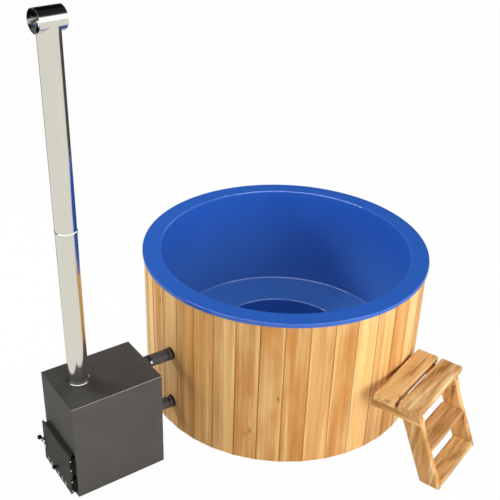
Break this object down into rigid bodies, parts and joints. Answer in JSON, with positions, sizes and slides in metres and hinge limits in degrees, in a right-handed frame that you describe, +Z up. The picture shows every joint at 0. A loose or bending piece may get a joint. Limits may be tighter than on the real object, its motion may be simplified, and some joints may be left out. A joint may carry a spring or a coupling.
{
  "type": "wood-fired hot tub",
  "caption": "Round wood-clad hot tub with a moulded bench liner, an outside wood stove joined by two hoses, a tall steel flue and a wooden step platform.",
  "frame": {"origin": "on the floor under the tub's axis, on the underside of the middle base bearer", "axes": "+Z up the tub's axis, +X from the stove towards the tub, so the stove stands at -X and the steps leave the tub towards -Y"},
  "size_m": [2.736, 2.3076, 2.677],
  "materials": {
    "liner_plastic": "glossy moulded plastic",
    "stave_wood": "oiled, bevelled edges",
    "step_wood": "oiled, rounded edges",
    "frame_wood": "rough sawn, hidden",
    "stove_paint": "heat-proof matt paint",
    "hinge_black": "black hinge steel",
    "raw_steel": "scaled steel inside the fire",
    "grate_iron": "as cast",
    "flue_steel": "polished stainless",
    "bright_steel": "bright zinc or stainless",
    "hose_rubber": "smooth",
    "black_plastic": "black knobs",
    "pipe_plastic": "moulded fittings",
    "valve_brass": "satin",
    "seal_rope": "woven fire rope, blacked with graphite"
  },
  "bodies": {
    "tub_and_stove": {"liner": "liner_plastic", "cladding_staves": "stave_wood", "upper_hoop": "frame_wood", "middle_hoop": "frame_wood", "lower_hoop": "frame_wood", "base_bearers": "frame_wood", "bench_props": "frame_wood", "upper_wall_pipe": "pipe_plastic", "lower_wall_pipe": "pipe_plastic", "wall_grilles": "pipe_plastic", "wall_lock_nuts": "pipe_plastic", "wall_collars": "pipe_plastic", "upper_hose": "hose_rubber", "lower_hose": "hose_rubber", "hose_clamps": "bright_steel", "drain_strainer": "pipe_plastic", "drain_sump": "pipe_plastic", "drain_pipe": "pipe_plastic", "drain_valve_body": "valve_brass", "stove_casing": "stove_paint", "stove_top": "stove_paint", "firebox": "raw_steel", "firebox_stays": "raw_steel", "flue_duct": "raw_steel", "fire_grate": "grate_iron", "stove_spigots": "bright_steel", "door_collar": "stove_paint", "door_seal": "seal_rope", "casing_hinge_leaves": "hinge_black", "hinge_pins": "hinge_black", "latch_keeper": "stove_paint", "flue_base_ring": "flue_steel", "flue_lower": "flue_steel", "flue_joint_ring": "flue_steel", "flue_coupler": "flue_steel", "flue_upper": "flue_steel", "flue_cap": "flue_steel", "rear_board": "step_wood", "front_board": "step_wood", "middle_tread": "step_wood", "bottom_tread": "step_wood", "left_stringer": "step_wood", "right_stringer": "step_wood", "left_rail": "step_wood", "right_rail": "step_wood", "platform_ledger": "step_wood", "ledger_screws": "bright_steel"},
    "fire_door": {"fire_door": "stove_paint", "door_hinge_leaves": "hinge_black", "hinge_bolts": "bright_steel", "shutter_studs": "bright_steel", "latch_stud": "bright_steel"},
    "door_latch": {"latch_lever": "bright_steel", "latch_ball": "black_plastic"},
    "air_slide": {"air_shutter": "bright_steel", "air_knob": "black_plastic"},
    "drain_valve": {"drain_ball": "bright_steel", "drain_lever": "black_plastic"}
  },
  "joints": [
    {"name": "fire_door_hinge", "type": "hinge", "parent": "tub_and_stove", "child": "fire_door", "pos_m": [-1.6535, -0.318, 0.17], "axis": [0, 0, 1], "range_deg": [0, 110]},
    {"name": "door_latch_turn", "type": "hinge", "parent": "fire_door", "child": "door_latch", "pos_m": [-1.683, 0.023, 0.161], "axis": [1, 0, 0], "range_deg": [0, 90]},
    {"name": "air_shutter_slide", "type": "slide", "parent": "fire_door", "child": "air_slide", "axis": [0, -1, 0], "range_m": [0, 0.02365]},
    {"name": "drain_lever_turn", "type": "hinge", "parent": "tub_and_stove", "child": "drain_valve", "pos_m": [0.954, 0.15, 0.037], "axis": [0, 0, -1], "range_deg": [0, 90]}
  ]
}
